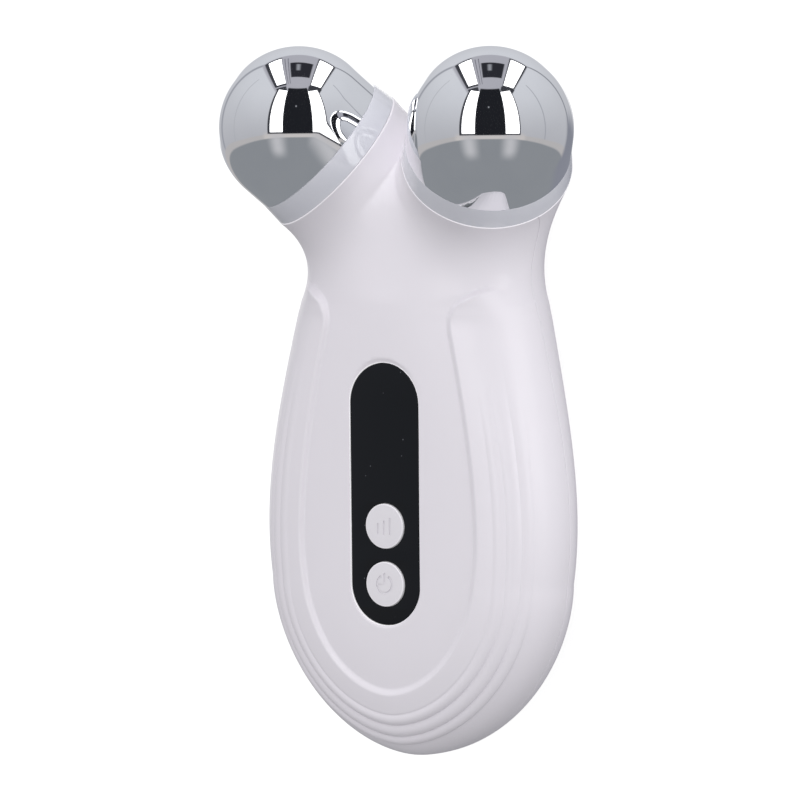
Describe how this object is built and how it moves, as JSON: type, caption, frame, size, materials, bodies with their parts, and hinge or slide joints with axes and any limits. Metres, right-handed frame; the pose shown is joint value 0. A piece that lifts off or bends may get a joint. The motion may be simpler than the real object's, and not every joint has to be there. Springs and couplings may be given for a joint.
{
  "type": "facial toning device",
  "caption": "Hand-held facial toner: flat tapering body with grip pads, window and push buttons, and branches with round polished electrodes.",
  "frame": {"origin": "middle of the bounding box, on the plane that the back of the handle rests on", "axes": "+Y along the handle towards the electrodes, +Z out of the face with the window, +X to the device's right as seen from the front"},
  "size_m": [0.0828, 0.1499, 0.0443],
  "materials": {
    "shell_white": "satin",
    "electrode_chrome": "polished",
    "collar_clear": "clear",
    "window_black": "polished",
    "button_white": "satin",
    "tape_black": "matte",
    "board_green": "satin",
    "chip_black": "matte",
    "coil_ferrite": "matte",
    "display_dark": "polished",
    "screw_steel": "satin",
    "contact_brass": "satin",
    "cell_foil": "satin",
    "foam_grey": "matte",
    "silicone_white": "matte",
    "plug_plastic": "matte",
    "ribbon_white": "satin",
    "lead_red": "satin",
    "lead_black": "satin",
    "lead_blue": "satin"
  },
  "bodies": {
    "housing": {"front_shell": "shell_white", "rear_shell": "shell_white", "display_window": "window_black", "window_tape": "tape_black", "mode_switch": "screw_steel", "power_switch": "screw_steel", "main_board": "board_green", "display_module": "display_dark", "control_chip": "chip_black", "step_up_coil": "coil_ferrite", "charging_board": "board_green", "charging_socket": "screw_steel", "charging_ribbon": "ribbon_white", "battery_cell": "cell_foil", "battery_foam": "foam_grey", "battery_lead_red": "lead_red", "battery_lead_black": "lead_black", "board_screws": "screw_steel", "case_screws": "screw_steel", "right_electrode": "electrode_chrome", "right_collar": "collar_clear", "right_seal": "silicone_white", "right_plug": "plug_plastic", "right_terminal": "contact_brass", "right_lead": "lead_red", "left_electrode": "electrode_chrome", "left_collar": "collar_clear", "left_seal": "silicone_white", "left_plug": "plug_plastic", "left_terminal": "contact_brass", "left_lead": "lead_blue", "electrode_screws": "screw_steel"},
    "mode_button": {"mode_button": "button_white"},
    "power_button": {"power_button": "button_white"},
    "mode_plunger": {"mode_plunger": "chip_black"},
    "power_plunger": {"power_plunger": "chip_black"}
  },
  "joints": [
    {"name": "mode_press", "type": "slide", "parent": "housing", "child": "mode_button", "axis": [0, 0, -1], "range_m": [0, 0.0004], "stiffness_N_per_m": 800, "springref_m": -0.0005},
    {"name": "power_press", "type": "slide", "parent": "housing", "child": "power_button", "axis": [0, 0, -1], "range_m": [0, 0.0004], "stiffness_N_per_m": 800, "springref_m": -0.0005},
    {"name": "mode_plunger_press", "type": "slide", "parent": "housing", "child": "mode_plunger", "axis": [0, 0, -1], "range_m": [0, 0.0004]},
    {"name": "power_plunger_press", "type": "slide", "parent": "housing", "child": "power_plunger", "axis": [0, 0, -1], "range_m": [0, 0.0004]}
  ],
  "couplings": [
    {"joint": "mode_plunger_press", "follows": "mode_press", "ratio": 1},
    {"joint": "power_plunger_press", "follows": "power_press", "ratio": 1}
  ]
}
